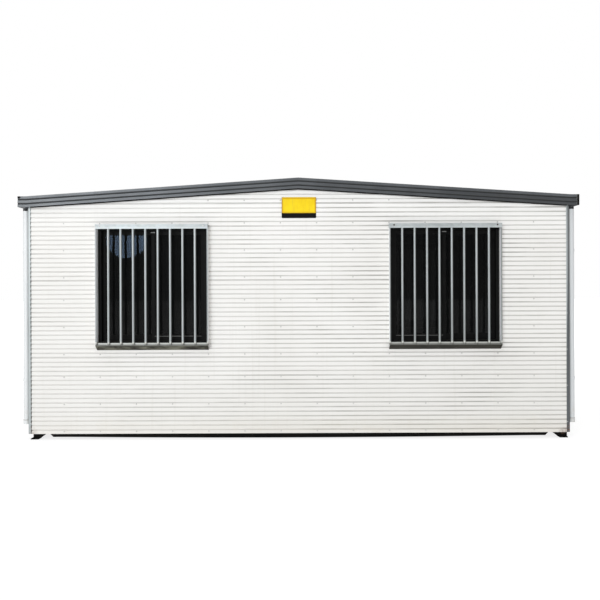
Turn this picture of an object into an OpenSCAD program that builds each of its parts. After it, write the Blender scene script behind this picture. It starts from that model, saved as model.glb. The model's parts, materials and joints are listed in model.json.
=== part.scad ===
// Portable site cabin: an insulated box clad in ribbed sheet, on a black steel base.
// The ridge of its low roof runs front to back, over the middle of the long walls.
// X runs along the cabin, -Y is the front with two barred windows, +Z is up.
// The origin is on the ground, under the middle of the cabin.

/* [Overall] */
// Length over the cladding of the end walls
cabin_l = 6000; // [5600:50:7200]
// Depth over the cladding of the front and rear walls
cabin_d = 3000; // [2400:50:3600]
// Height of the walls at the corners, from the foot of the cladding to the roof
wall_h = 2528; // [2480:1:2700]
// Rise of the roof from the end walls to the ridge
roof_rise = 195; // [100:5:260]
// Thickness of the insulated wall panels
wall_t = 70; // [60:1:100]
// Thickness of the insulated roof panels, measured upright
roof_t = 65; // [50:1:90]

/* [Base] */
// Height of the feet, from the ground to the foot of the cladding
foot_h = 65; // [50:1:100]
// Width of a foot at the ground
foot_w = 66; // [60:1:100]
// Width of a foot where it meets the base frame
foot_top_w = 155; // [120:1:165]
// Thickness of the plates of a foot
foot_t = 10; // [6:1:16]
// Distance of a foot from the outer faces of the bearers
foot_inset = 35; // [20:1:50]
// Reach of the sole plate beyond the foot
sole_lip = 22; // [0:1:30]
// Height of the bearers
bearer_h = 125; // [110:1:200]
// Width of the bearer flanges
bearer_w = 65; // [50:1:80]
// Thickness of the bearer web and flanges
bearer_t = 8; // [5:1:12]
// Drop of the bearers below the foot of the cladding
bearer_drop = 35; // [20:1:45]
// Length of the raised end of a bearer, from the corner
bearer_notch_l = 242; // [225:1:280]
// Height of the floor joists
joist_h = 100; // [75:1:105]
// Width of the floor joists
joist_w = 50; // [40:1:70]
// Thickness of the joist sheet
joist_t = 4; // [2:0.5:6]
// Spacing of the floor joists
joist_pitch = 600; // [400:10:750]
// Thickness of the floor deck
deck_t = 18; // [15:1:25]

/* [Cladding] */
// Height of one rib with its groove
rib_pitch = 50; // [40:1:80]
// Depth of the grooves
rib_depth = 6; // [4:0.5:10]
// Height of the flat bottom of a groove
groove_h = 8; // [5:0.5:12]
// Height of each sloping side of a groove
groove_slope_h = 4; // [2:0.5:6]
// Thickness of the cladding sheet
sheet_t = 1.2; // [0.8:0.1:2]
// Width of a corner trim on each wall
trim_w = 41; // [38:1:70]
// Outer radius of a corner trim
trim_r = 22; // [18:1:30]
// Thickness of a corner trim
trim_t = 1.5; // [1:0.1:3]

/* [Windows] */
// Distance of the window centres from the middle of the cabin
win_x = 1615; // [1400:5:1700]
// Width of a window opening
win_w = 1200; // [900:10:1300]
// Height of a window opening
win_h = 1290; // [900:5:1300]
// Height of the window sill above the foot of the cladding
sill_h = 990; // [900:5:1000]
// Width of the window frame seen from outside
win_face = 32; // [25:1:45]
// Width of the upright sash stiles
stile_w = 34; // [25:1:45]
// Height of the top rail of a sash
top_rail_h = 45; // [30:1:60]
// Height of the bottom rail of a sash
bottom_rail_h = 66; // [40:1:80]
// Thickness of a sash
sash_t = 20; // [15:1:24]
// Depth of the outer sash behind the cladding
sash_set = 22; // [15:1:26]
// Thickness of the glass
glass_t = 5; // [4:1:8]

/* [Window grilles] */
// Width of a grille
grille_w = 1235; // [1000:5:1350]
// Height of the grille from its bottom rail to its top
grille_h = 1332; // [1000:2:1340]
// Height of the grille's bottom rail above the foot of the cladding
grille_foot_h = 978; // [900:1:990]
// Stand-off of the grille from the cladding
grille_out = 65; // [50:1:90]
// Number of upright bars
bar_count = 8; // [5:1:12]
// Diameter of the bars
bar_d = 25; // [16:1:32]
// Width of the side bars
side_bar_w = 12; // [8:1:30]
// Height of the front of the top rail
top_angle_h = 50; // [30:1:60]
// Height of the back of the bottom rail
bottom_angle_h = 28; // [20:1:60]
// Thickness of the rails
rail_t = 5; // [3:0.5:8]
// Height of the drip plate under the bottom rail
drip_h = 54; // [20:1:70]

/* [Roof] */
// Height of the roof sheet ribs
roof_rib_h = 28; // [16:1:40]
// Spacing of the roof sheet ribs
roof_rib_pitch = 190; // [150:5:250]
// Width of a roof rib at its top
roof_rib_top = 22; // [15:1:30]
// Width of a roof rib at its foot
roof_rib_foot = 52; // [40:1:70]
// Thickness of the roof sheets
roof_sheet_t = 1.2; // [0.8:0.1:2]
// Reach of the roof sheets past the end cladding
eave_out = 42; // [30:1:80]
// Width of the ridge cap on each side of the ridge
ridge_cap_w = 160; // [100:5:220]
// Height of the barge trim
barge_h = 118; // [110:1:135]
// Stand-off of the barge face from the cladding
barge_out = 45; // [30:1:60]
// Height of a groove in the barge face
barge_groove_h = 19; // [8:1:24]
// Depth of a groove in the barge face
barge_groove_d = 9; // [4:0.5:12]
// Thickness of the barge trim and the ridge cap
barge_t = 1.5; // [1:0.1:3]

/* [Gutters and downpipes] */
// Width of a gutter
gutter_w = 86; // [80:1:130]
// Width of the flat bottom of a gutter
gutter_flat_w = 30; // [20:1:70]
// Height of the front of a gutter
gutter_front_h = 118; // [105:1:150]
// Fall of the gutter's bottom from its front to the wall
gutter_fall = 14; // [10:1:40]
// Height of the gutter's front lip above the roof panel at the end wall
gutter_lip_rise = 31; // [30:1:60]
// Gap between the back of the gutter and the roof sheet
gutter_back_gap = 12; // [5:1:30]
// Width and height of the rolled lip of a gutter
gutter_bead = 14; // [10:1:25]
// Thickness of a gutter
gutter_t = 1.5; // [1:0.1:3]
// Outer diameter of a downpipe
pipe_d = 65; // [50:1:68]
// Wall thickness of a downpipe
pipe_t = 3; // [2:0.5:5]
// Distance of a downpipe's axis from the end cladding
pipe_out = 38; // [37:1:39]
// Distance of a downpipe's axis from the front cladding
pipe_inset = 62; // [61:1:300]
// Height of the downpipe's end above the foot of the cladding
pipe_foot_h = 103; // [60:1:300]
// Length of the gutter's dropper
dropper_h = 20; // [20:1:60]
// Height of the coupling at the foot of a downpipe
coupling_h = 47; // [30:1:80]
// Thickness of the coupling and of the pipe clips
clip_t = 4; // [2:0.5:6]
// Height and width of a pipe clip
clip_w = 30; // [20:1:40]

/* [Door] */
// Distance of the door's centre from the middle of the cabin
door_x = 1600; // [1000:10:2000]
// Width of the door leaf
door_w = 820; // [720:10:920]
// Height of the door leaf
door_h = 2040; // [1980:10:2060]
// Thickness of the door leaf
door_t = 38; // [32:1:45]
// Gap round the door leaf
door_gap = 3; // [2:0.5:6]
// Width of the door frame seen from outside
door_face = 40; // [30:1:60]
// Width of the door stop
stop_w = 12; // [8:1:18]
// Height of the threshold
threshold_h = 25; // [15:1:40]

/* [Door fittings] */
// Height of a hinge
hinge_h = 100; // [75:5:125]
// Width of each hinge leaf
hinge_w = 32; // [25:1:38]
// Thickness of a hinge leaf
hinge_t = 3; // [2:0.5:4]
// Diameter of a hinge knuckle
knuckle_d = 14; // [10:1:18]
// Width of the handle plate
handle_plate_w = 45; // [35:1:60]
// Height of the handle plate
handle_plate_h = 190; // [150:5:240]
// Thickness of the handle plate
handle_plate_t = 6; // [3:1:10]
// Diameter of the lever
lever_d = 18; // [14:1:22]
// Length of the lever
lever_l = 125; // [100:5:150]
// Reach of the lever from the handle plate
lever_out = 48; // [35:1:60]
// Distance of the handle from the edge of the door leaf
handle_inset = 60; // [45:1:90]
// Height of the handle above the floor
handle_h = 1020; // [900:10:1100]

/* [Hidden] */
$fn = 64;
// Overrun of every cut
over = 20;

// Plan
half_l = cabin_l / 2;
half_d = cabin_d / 2;
clad_depth = rib_depth + sheet_t;
core_half_l = half_l - clad_depth;
core_half_d = half_d - clad_depth;
inner_half_l = core_half_l - wall_t;
inner_half_d = core_half_d - wall_t;
reveal_d = clad_depth + wall_t;

// Heights
clad_z = foot_h;
bearer_z = clad_z - bearer_drop;
deck_z = bearer_z + bearer_h;
floor_z = deck_z + deck_t;
eave_z = clad_z + wall_h;
ridge_z = eave_z + roof_rise;
pitch = atan(roof_rise / half_l);
function under_roof_z(x) = ridge_z - roof_rise * abs(x) / half_l;

// Cladding
band_h = rib_pitch - groove_h - 2 * groove_slope_h;
rib_count = ceil((wall_h + roof_rise) / rib_pitch);

// Windows and grilles
win_z = clad_z + sill_h;
win_in_w = win_w - 2 * win_face;
win_in_h = win_h - 2 * win_face;
sash_w = (win_in_w + stile_w) / 2;
sash_gap = sash_t / 10;
grille_z = clad_z + grille_foot_h;
bar_pitch = (grille_w - side_bar_w) / (bar_count + 1);
weld_d = bar_d / 20;

// Roof
roof_rib_count = floor((2 * core_half_d - roof_rib_foot) / roof_rib_pitch) + 1;
roof_rib_y = (roof_rib_count - 1) / 2 * roof_rib_pitch;
roof_top_h = roof_rib_h + roof_sheet_t;
barge_y = half_d + barge_out;
barge_flange_y = roof_rib_y - roof_rib_top / 2;
barge_end_x = half_l + trim_t;
band_count = 3;
barge_groove_share = 0.75;
barge_band_h = (barge_h - (band_count - 1) * barge_groove_h) / band_count;
slope_l = (half_l + eave_out) / cos(pitch);

// Gutters and downpipes
gutter_x = half_l + trim_t;
gutter_top_z = eave_z + roof_t + gutter_lip_rise;
gutter_z = gutter_top_z - gutter_front_h - gutter_fall;
gutter_back_z = eave_z + roof_t - gutter_back_gap;
gutter_stop_t = barge_groove_d + gutter_t;
pipe_x = half_l + pipe_out;
pipe_y = -half_d + pipe_inset;
pipe_z = clad_z + pipe_foot_h;
pipe_l = gutter_z - dropper_h - pipe_z;
pipe_r = pipe_d / 2;
pipe_bore_r = pipe_r - pipe_t;
clip_shares = [0.2, 0.8];

// Door
door_hole_w = door_w + 2 * (door_gap + door_face);
door_hole_h = threshold_h + door_h + 2 * door_gap + door_face;
door_pocket_w = door_w + 2 * door_gap;
door_pocket_h = door_h + 2 * door_gap;
leaf_z = floor_z + threshold_h + door_gap;
hinge_shares = [0.1, 0.5, 0.9];

// Colours
white = [0.93, 0.93, 0.91];
grey = [0.62, 0.65, 0.66];
dark = [0.25, 0.26, 0.28];
black = [0.06, 0.06, 0.06];
zinc = [0.78, 0.81, 0.81];
bronze = [0.10, 0.10, 0.10];
timber = [0.62, 0.52, 0.40];
lining = [0.85, 0.84, 0.80];

// Helpers

// Turns what is made for the front over to the rear
module at_rear() {
    mirror([0, 1, 0]) children();
}

// Turns what is made for the right-hand end over to the left
module at_left() {
    mirror([1, 0, 0]) children();
}

// A box from its lowest to its highest corner
module block(low, high) {
    translate(low) cube(high - low);
}

// An upright outline in X and Z, from y0 to y1
module upright_x(y0, y1) {
    translate([0, y1, 0]) rotate([90, 0, 0]) linear_extrude(y1 - y0) children();
}

// An outline in Y and Z, from x0 to x1
module upright_y(x0, x1) {
    translate([x0, 0, 0]) rotate([90, 0, 90]) linear_extrude(x1 - x0) children();
}

// The frame of the right-hand slope: local X runs down it, local Z = 0 is the roof panel's top
module on_slope() {
    translate([0, 0, ridge_z + roof_t]) rotate([0, pitch, 0]) children();
}

// What of its children lies between the ridge and x
module down_to(x) {
    intersection() {
        children();
        block([0, -cabin_d, 0], [x, cabin_d, ridge_z + wall_h]);
    }
}

// The upright outline under the roof, out to half_x on each side and up from z
module gable_outline(half_x, z) {
    polygon([
        [-half_x, z], [half_x, z], [half_x, under_roof_z(half_x)],
        [0, ridge_z], [-half_x, under_roof_z(half_x)]
    ]);
}

// A rectangular ring in X and Z, closed by bars of the given widths
module ring(low, high, side, top, bottom) {
    difference() {
        block(low, high);
        block(
            [low[0] + side, low[1] - over, low[2] + bottom],
            [high[0] - side, high[1] + over, high[2] - top]
        );
    }
}

// Base

// A channel standing on its web's outer face, flanges towards +Y, along X
module channel(length, height, width, thick) {
    rotate([90, 0, 90]) linear_extrude(length, center = true) polygon([
        [0, 0], [width, 0], [width, thick], [thick, thick],
        [thick, height - thick], [width, height - thick], [width, height], [0, height]
    ]);
}

// A bearer along X whose ends are raised over the feet; corner is its distance from the corner
module bearer(length, corner) {
    notch_x = corner - bearer_notch_l;
    difference() {
        translate([0, 0, bearer_z]) channel(length, bearer_h, bearer_w, bearer_t);
        for (side = [0, 1]) mirror([side, 0, 0]) upright_x(-over, bearer_w + over) polygon([
            [notch_x - bearer_drop - over, bearer_z - over], [corner + over, bearer_z - over],
            [corner + over, clad_z], [notch_x, clad_z]
        ]);
    }
    // The bottom flange runs on up the step and along the raised end
    for (side = [0, 1]) mirror([side, 0, 0]) upright_x(0, bearer_w) polygon([
        [notch_x - bearer_drop, bearer_z], [notch_x, clad_z], [length / 2, clad_z],
        [length / 2, clad_z + bearer_t], [notch_x - bearer_t / 2, clad_z + bearer_t],
        [notch_x - bearer_drop - bearer_t / 2, bearer_z + bearer_t]
    ]);
}

module front_bearer() {
    color(black) translate([0, -core_half_d, 0]) bearer(2 * core_half_l, half_l);
}

module rear_bearer() {
    at_rear() front_bearer();
}

module right_end_bearer() {
    color(black) translate([core_half_l, 0, 0]) rotate([0, 0, 90])
        bearer(2 * (core_half_d - bearer_w), half_d);
}

module left_end_bearer() {
    at_left() right_end_bearer();
}

module floor_joists() {
    run = core_half_l - bearer_w - joist_w;
    bays = ceil(2 * run / joist_pitch);
    color(black) for (i = [1 : bays - 1])
        translate([-run + i * 2 * run / bays, 0, deck_z - joist_h]) rotate([0, 0, 90])
            translate([0, -joist_w / 2, 0])
                channel(2 * (core_half_d - bearer_w), joist_h, joist_w, joist_t);
}

// One foot, made for the corner at +X and -Y
module foot() {
    module gusset() {
        polygon([[0, 0], [-foot_w, 0], [-foot_top_w, foot_h], [0, foot_h]]);
    }
    translate([core_half_l - foot_inset, -core_half_d + foot_inset, 0]) {
        upright_x(0, foot_t) gusset();
        rotate([0, 0, -90]) upright_x(-foot_t, 0) gusset();
        block([-foot_w, -sole_lip, 0], [sole_lip, foot_w, foot_t]);
        block([-foot_top_w, 0, foot_h - foot_t], [0, foot_top_w, foot_h]);
    }
}

module corner_feet() {
    color(black) for (x = [0, 1], y = [0, 1]) mirror([x, 0, 0]) mirror([0, y, 0]) foot();
}

module floor_deck() {
    color(timber) block([-core_half_l, -core_half_d, deck_z], [core_half_l, core_half_d, floor_z]);
}

// Walls

// Cuts a window through the front
module window_hole(x) {
    block([x - win_w / 2, -half_d - over, win_z], [x + win_w / 2, -inner_half_d + over, win_z + win_h]);
}

// Cuts the doorway through the front
module door_hole() {
    block(
        [-door_x - door_hole_w / 2, -half_d - over, floor_z],
        [-door_x + door_hole_w / 2, -inner_half_d + over, floor_z + door_hole_h]
    );
}

module long_wall() {
    upright_x(-core_half_d, -inner_half_d) gable_outline(core_half_l, floor_z);
}

module front_wall() {
    color(lining) difference() {
        long_wall();
        for (side = [-1, 1]) window_hole(side * win_x);
    }
}

module rear_wall() {
    color(lining) at_rear() difference() {
        long_wall();
        window_hole(win_x);
        door_hole();
    }
}

module right_end_wall() {
    color(lining) upright_x(-inner_half_d, inner_half_d) polygon([
        [inner_half_l, floor_z], [core_half_l, floor_z],
        [core_half_l, under_roof_z(core_half_l)], [inner_half_l, under_roof_z(inner_half_l)]
    ]);
}

module left_end_wall() {
    at_left() right_end_wall();
}

// Section of the ribbed sheet: depth from the wall panel in X, height above its foot in Y
module rib_section() {
    one_rib = [
        [rib_depth, 0], [rib_depth, band_h],
        [0, band_h + groove_slope_h], [0, rib_pitch - groove_slope_h]
    ];
    back = [for (i = [0 : rib_count - 1]) for (p = one_rib) p + [0, i * rib_pitch]];
    last = len(back) - 1;
    face = [for (i = [last : -1 : 0]) back[i] + [sheet_t, 0]];
    polygon(concat(back, face));
}

module long_cladding() {
    intersection() {
        translate([0, -core_half_d, clad_z]) rotate([90, 0, -90])
            linear_extrude(cabin_l, center = true) rib_section();
        upright_x(-half_d - over, -core_half_d + over) gable_outline(half_l - trim_r, clad_z - over);
    }
}

module front_cladding() {
    color(white) difference() {
        long_cladding();
        for (side = [-1, 1]) window_hole(side * win_x);
    }
}

module rear_cladding() {
    color(white) at_rear() difference() {
        long_cladding();
        window_hole(win_x);
        door_hole();
    }
}

module right_end_cladding() {
    reach = half_d - trim_r;
    color(white) intersection() {
        translate([core_half_l, 0, clad_z]) rotate([90, 0, 0])
            linear_extrude(cabin_d, center = true) rib_section();
        block([core_half_l - over, -reach, clad_z - over], [half_l + over, reach, eave_z]);
    }
}

module left_end_cladding() {
    at_left() right_end_cladding();
}

// A folded corner trim over the cladding, made for the corner at +X and -Y
module corner_trim() {
    outer = trim_r + trim_t;
    module rounded(r, reach) {
        intersection() {
            union() {
                circle(r);
                translate([-reach, 0]) square([reach + r, reach]);
                translate([-reach, -r]) square([reach, reach + r]);
            }
            translate([-reach, -r]) square([reach + r, reach + r]);
        }
    }
    color(grey) translate([half_l - trim_r, -half_d + trim_r, clad_z]) linear_extrude(wall_h) difference() {
        rounded(outer, trim_w - trim_r);
        rounded(trim_r, trim_w);
    }
}

module front_right_corner_trim() {
    corner_trim();
}

module front_left_corner_trim() {
    at_left() corner_trim();
}

module rear_right_corner_trim() {
    at_rear() corner_trim();
}

module rear_left_corner_trim() {
    at_left() at_rear() corner_trim();
}

// Roof

module right_roof_panel() {
    eave = under_roof_z(core_half_l);
    color(lining) upright_x(-core_half_d, core_half_d) polygon([
        [0, ridge_z], [core_half_l, eave], [core_half_l, eave + roof_t], [0, ridge_z + roof_t]
    ]);
}

module left_roof_panel() {
    at_left() right_roof_panel();
}

module right_roof_sheet() {
    ribs = [
        for (i = [0 : roof_rib_count - 1])
            for (p = [[-roof_rib_foot, 0], [-roof_rib_top, roof_rib_h], [roof_rib_top, roof_rib_h], [roof_rib_foot, 0]])
                [-roof_rib_y + i * roof_rib_pitch + p[0] / 2, p[1]]
    ];
    under = concat([[-core_half_d, 0]], ribs, [[core_half_d, 0]]);
    last = len(under) - 1;
    top = [for (i = [last : -1 : 0]) under[i] + [0, roof_sheet_t]];
    color(dark) down_to(half_l + eave_out) on_slope() upright_y(-over, slope_l + over)
        polygon(concat(under, top));
}

module left_roof_sheet() {
    at_left() right_roof_sheet();
}

module ridge_cap() {
    base = ridge_z + roof_t + roof_top_h / cos(pitch);
    fall = ridge_cap_w * tan(pitch);
    rise = barge_t / cos(pitch);
    color(dark) upright_x(-barge_flange_y, barge_flange_y) polygon([
        [-ridge_cap_w, base - fall], [0, base], [ridge_cap_w, base - fall],
        [ridge_cap_w, base - fall + rise], [0, base + rise], [-ridge_cap_w, base - fall + rise]
    ]);
}

// The grooved face of the barge and the gutter stops, from its top at [y, z] down
function grooved_face(y, z) = [
    for (i = [0 : band_count - 1])
        let (top = z - i * (barge_band_h + barge_groove_h))
            each concat(
                [[y, top], [y, top - barge_band_h]],
                i < band_count - 1 ? [[y + barge_groove_d, top - barge_band_h - barge_groove_share * barge_groove_h]] : []
            )
];

module barge_section() {
    top = roof_top_h + barge_t;
    foot = top - barge_h;
    face = grooved_face(-barge_y, top);
    last = len(face) - 1;
    back = [for (i = [last : -1 : 0]) face[i] + [barge_t, 0]];
    polygon(concat(face, back));
    translate([-barge_y, roof_top_h]) square([barge_y - barge_flange_y, barge_t]);
    translate([-barge_y, foot]) square([barge_out - trim_t, barge_t]);
}

module front_barge() {
    module half_barge() {
        down_to(barge_end_x) on_slope() upright_y(-over, slope_l + over) barge_section();
    }
    color(dark) {
        half_barge();
        at_left() half_barge();
    }
}

module rear_barge() {
    at_rear() front_barge();
}

// Gutters and downpipes

module gutter_section() {
    far = gutter_x + gutter_w;
    near = far - gutter_t;
    polygon([
        [gutter_x, gutter_back_z], [gutter_x, gutter_z], [gutter_x + gutter_flat_w, gutter_z],
        [far, gutter_z + gutter_fall], [far, gutter_top_z], [far - gutter_bead, gutter_top_z],
        [far - gutter_bead, gutter_top_z - gutter_bead], [near, gutter_top_z - gutter_bead],
        [near, gutter_z + gutter_fall + gutter_t], [gutter_x + gutter_flat_w, gutter_z + gutter_t],
        [gutter_x + gutter_t, gutter_z + gutter_t], [gutter_x + gutter_t, gutter_back_z]
    ]);
}

// The stop that closes the front end of a gutter, grooved to match the barge
module gutter_stop() {
    far = gutter_x + gutter_w;
    inner_y = -barge_y + gutter_stop_t;
    intersection() {
        upright_x(-barge_y - over, inner_y) polygon([
            [gutter_x, gutter_top_z], [gutter_x, gutter_z], [gutter_x + gutter_flat_w, gutter_z],
            [far, gutter_z + gutter_fall], [far, gutter_top_z]
        ]);
        upright_y(gutter_x - over, far + over) polygon(concat(
            grooved_face(-barge_y, gutter_top_z),
            [[-barge_y, gutter_z - over], [inner_y + over, gutter_z - over], [inner_y + over, gutter_top_z]]
        ));
    }
}

// The tube under a gutter, cut off inside the thickness of its sloping bottom
module dropper() {
    far = gutter_x + gutter_w;
    cut_z = gutter_z + gutter_t / 2;
    difference() {
        translate([pipe_x, pipe_y, gutter_z - dropper_h]) cylinder(r = pipe_r, h = dropper_h + gutter_fall);
        upright_x(-barge_y, barge_y) polygon([
            [gutter_x, cut_z], [gutter_x + gutter_flat_w, cut_z], [far, cut_z + gutter_fall],
            [far, gutter_top_z], [gutter_x, gutter_top_z]
        ]);
    }
}

module right_gutter() {
    color(dark) difference() {
        union() {
            upright_x(-barge_y + gutter_stop_t, barge_y - gutter_stop_t) gutter_section();
            gutter_stop();
            at_rear() gutter_stop();
            dropper();
        }
        translate([pipe_x, pipe_y, gutter_z - dropper_h - over])
            cylinder(r = pipe_bore_r, h = dropper_h + gutter_fall + gutter_t + 2 * over);
    }
}

module left_gutter() {
    at_left() right_gutter();
}

module right_downpipe() {
    color(white) translate([pipe_x, pipe_y, pipe_z]) difference() {
        union() {
            cylinder(r = pipe_r, h = pipe_l);
            cylinder(r = pipe_r + clip_t, h = coupling_h);
            for (share = clip_shares) translate([0, 0, share * pipe_l]) {
                cylinder(r = pipe_r + clip_t, h = clip_w);
                block([-pipe_out, -clip_w / 2, 0], [0, clip_w / 2, clip_w]);
            }
        }
        translate([0, 0, -over]) cylinder(r = pipe_bore_r, h = pipe_l + 2 * over);
    }
}

module left_downpipe() {
    at_left() right_downpipe();
}

// Windows, made for the front at x

module window_frame(x) {
    color(bronze) ring(
        [x - win_w / 2, -half_d, win_z], [x + win_w / 2, -inner_half_d, win_z + win_h],
        win_face, win_face, win_face
    );
}

// Lays its children out once for each sash: the outer one lies nearer the cabin's middle
module each_sash(x) {
    inward = x < 0 ? 1 : -1;
    shift = (win_in_w - sash_w) / 2;
    for (track = [0, 1])
        translate([
            x + inward * (track == 0 ? shift : -shift),
            -half_d + sash_set + track * (sash_t + sash_gap), win_z + win_face
        ]) children();
}

module window_sashes(x) {
    color(bronze) each_sash(x)
        ring([-sash_w / 2, 0, 0], [sash_w / 2, sash_t, win_in_h], stile_w, top_rail_h, bottom_rail_h);
}

module window_glass(x) {
    color("lightblue", 0.4) each_sash(x) block(
        [-sash_w / 2 + stile_w, (sash_t - glass_t) / 2, bottom_rail_h],
        [sash_w / 2 - stile_w, (sash_t + glass_t) / 2, win_in_h - top_rail_h]
    );
}

// A welded cage of round bars on angle rails, standing off the cladding
module grille(x) {
    half_w = grille_w / 2;
    bar_y = -grille_out + rail_t + bar_d / 2 - weld_d;
    back_y = bar_y + bar_d / 2 - weld_d;
    color(zinc) translate([x, -half_d, grille_z]) {
        // Top rail: an angle, its front over the heads of the bars
        block([-half_w, -grille_out, grille_h - top_angle_h], [half_w, -grille_out + rail_t, grille_h]);
        block([-half_w, -grille_out, grille_h - rail_t], [half_w, 0, grille_h]);
        // Bottom rail: an angle, its back behind the feet of the bars
        block([-half_w, -grille_out, 0], [half_w, 0, rail_t]);
        block([-half_w, back_y, 0], [half_w, back_y + rail_t, bottom_angle_h]);
        // Drip plate, sloping back to the wall
        upright_y(-half_w, half_w) polygon([
            [-grille_out, 0], [0, -drip_h], [0, -drip_h + rail_t], [-grille_out + rail_t, rail_t]
        ]);
        // Side bars
        for (side = [0, 1]) mirror([side, 0, 0])
            block([half_w - side_bar_w, -grille_out + rail_t, 0], [half_w, 0, grille_h]);
        // Round bars
        for (i = [1 : bar_count])
            translate([-half_w + side_bar_w / 2 + i * bar_pitch, bar_y, rail_t / 2])
                cylinder(d = bar_d, h = grille_h - rail_t);
    }
}

module front_left_window_frame() {
    window_frame(-win_x);
}

module front_left_window_sashes() {
    window_sashes(-win_x);
}

module front_left_window_glass() {
    window_glass(-win_x);
}

module front_left_grille() {
    grille(-win_x);
}

module front_right_window_frame() {
    window_frame(win_x);
}

module front_right_window_sashes() {
    window_sashes(win_x);
}

module front_right_window_glass() {
    window_glass(win_x);
}

module front_right_grille() {
    grille(win_x);
}

module rear_window_frame() {
    at_rear() window_frame(win_x);
}

module rear_window_sashes() {
    at_rear() window_sashes(win_x);
}

module rear_window_glass() {
    at_rear() window_glass(win_x);
}

module rear_grille() {
    at_rear() grille(win_x);
}

// Door, in the rear wall, shut

module door_frame() {
    color(white) at_rear() translate([-door_x, -half_d, floor_z]) difference() {
        block([-door_hole_w / 2, 0, 0], [door_hole_w / 2, reveal_d, door_hole_h]);
        block(
            [-door_pocket_w / 2, -over, threshold_h],
            [door_pocket_w / 2, door_t, threshold_h + door_pocket_h]
        );
        block(
            [-door_pocket_w / 2 + stop_w, 0, threshold_h],
            [door_pocket_w / 2 - stop_w, reveal_d + over, threshold_h + door_pocket_h - stop_w]
        );
    }
}

module door_leaf() {
    color(white) at_rear() translate([-door_x, -half_d, leaf_z])
        block([-door_w / 2, 0, 0], [door_w / 2, door_t, door_h]);
}

module door_fittings() {
    module hinge() {
        block([-hinge_w, -hinge_t, 0], [hinge_w, 0, hinge_h]);
        translate([0, -(hinge_t / 2 + knuckle_d) / 2, 0]) cylinder(d = knuckle_d, h = hinge_h);
    }
    module handle() {
        block(
            [-handle_plate_w / 2, -handle_plate_t, -handle_plate_h / 2],
            [handle_plate_w / 2, 0, handle_plate_h / 2]
        );
        rotate([90, 0, 0]) cylinder(d = lever_d, h = handle_plate_t + lever_out);
        translate([0, -handle_plate_t - lever_out + lever_d / 2, 0]) rotate([0, 90, 0])
            cylinder(d = lever_d * lever_share, h = lever_l);
    }
    lever_share = 0.9;
    hinge_x = -door_w / 2 - door_gap / 2;
    color(zinc) at_rear() translate([-door_x, -half_d, leaf_z]) {
        for (share = hinge_shares)
            translate([hinge_x, 0, share * (door_h - hinge_h)]) hinge();
        translate([door_w / 2 - handle_inset, 0, handle_h - threshold_h]) mirror([1, 0, 0]) handle();
        translate([door_w / 2 - handle_inset, door_t, handle_h - threshold_h])
            mirror([0, 1, 0]) mirror([1, 0, 0]) handle();
    }
}

front_bearer();
rear_bearer();
left_end_bearer();
right_end_bearer();
floor_joists();
corner_feet();
floor_deck();
front_wall();
rear_wall();
left_end_wall();
right_end_wall();
front_cladding();
rear_cladding();
left_end_cladding();
right_end_cladding();
front_left_corner_trim();
front_right_corner_trim();
rear_left_corner_trim();
rear_right_corner_trim();
left_roof_panel();
right_roof_panel();
left_roof_sheet();
right_roof_sheet();
ridge_cap();
front_barge();
rear_barge();
left_gutter();
right_gutter();
left_downpipe();
right_downpipe();
front_left_window_frame();
front_left_window_sashes();
front_left_window_glass();
front_left_grille();
front_right_window_frame();
front_right_window_sashes();
front_right_window_glass();
front_right_grille();
rear_window_frame();
rear_window_sashes();
rear_window_glass();
rear_grille();
door_frame();
door_leaf();
door_fittings();
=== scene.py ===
"""Looks of the portable site cabin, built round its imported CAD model. Metres, Z up, front at -Y."""

import json
import math

import bmesh
import bpy
from mathutils import Matrix, Vector

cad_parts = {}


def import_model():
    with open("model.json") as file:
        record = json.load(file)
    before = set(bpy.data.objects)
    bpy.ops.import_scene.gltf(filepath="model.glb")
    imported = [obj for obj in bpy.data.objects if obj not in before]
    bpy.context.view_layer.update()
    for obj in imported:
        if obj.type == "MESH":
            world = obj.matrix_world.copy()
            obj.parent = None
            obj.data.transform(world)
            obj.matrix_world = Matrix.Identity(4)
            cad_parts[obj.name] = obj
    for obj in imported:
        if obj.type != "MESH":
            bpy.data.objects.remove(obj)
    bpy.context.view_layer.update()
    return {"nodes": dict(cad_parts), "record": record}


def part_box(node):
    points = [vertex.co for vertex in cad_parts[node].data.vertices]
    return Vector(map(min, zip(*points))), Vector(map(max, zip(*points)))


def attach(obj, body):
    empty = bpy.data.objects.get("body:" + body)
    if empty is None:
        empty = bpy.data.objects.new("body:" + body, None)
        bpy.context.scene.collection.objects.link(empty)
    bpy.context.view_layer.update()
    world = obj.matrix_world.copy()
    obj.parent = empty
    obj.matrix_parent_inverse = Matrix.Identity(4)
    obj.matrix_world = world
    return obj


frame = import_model()
NODES = frame["nodes"]
BODY = "root"


# Places, read off the CAD's boxes

def span(node):
    low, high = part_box(node)
    return Vector(low), Vector(high)


CLAD_LOW, CLAD_HIGH = span("front_cladding")
FRONT_Y, REAR_Y = CLAD_LOW.y, -CLAD_LOW.y
CLAD_Z, RIDGE_Z = CLAD_LOW.z, CLAD_HIGH.z
END_HIGH = span("right_end_cladding")[1]
END_X, EAVE_Z = END_HIGH.x, END_HIGH.z
SLOPE = (RIDGE_Z - EAVE_Z) / END_X
PITCH = math.atan(SLOPE)

BARGE_LOW, BARGE_HIGH = span("front_barge")
BARGE_Y, BARGE_TOP_Z = BARGE_LOW.y, BARGE_HIGH.z
GUTTER_HIGH = span("right_gutter")[1]
GUTTER_X, GUTTER_TOP_Z = GUTTER_HIGH.x, GUTTER_HIGH.z
ROOF_TOP_Z = span("right_roof_sheet")[1].z
CAP_HIGH = span("ridge_cap")[1]
CAP_HALF_W, CAP_TOP_Z = CAP_HIGH.x, CAP_HIGH.z
PIPE_Z = span("right_downpipe")[0].z

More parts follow.
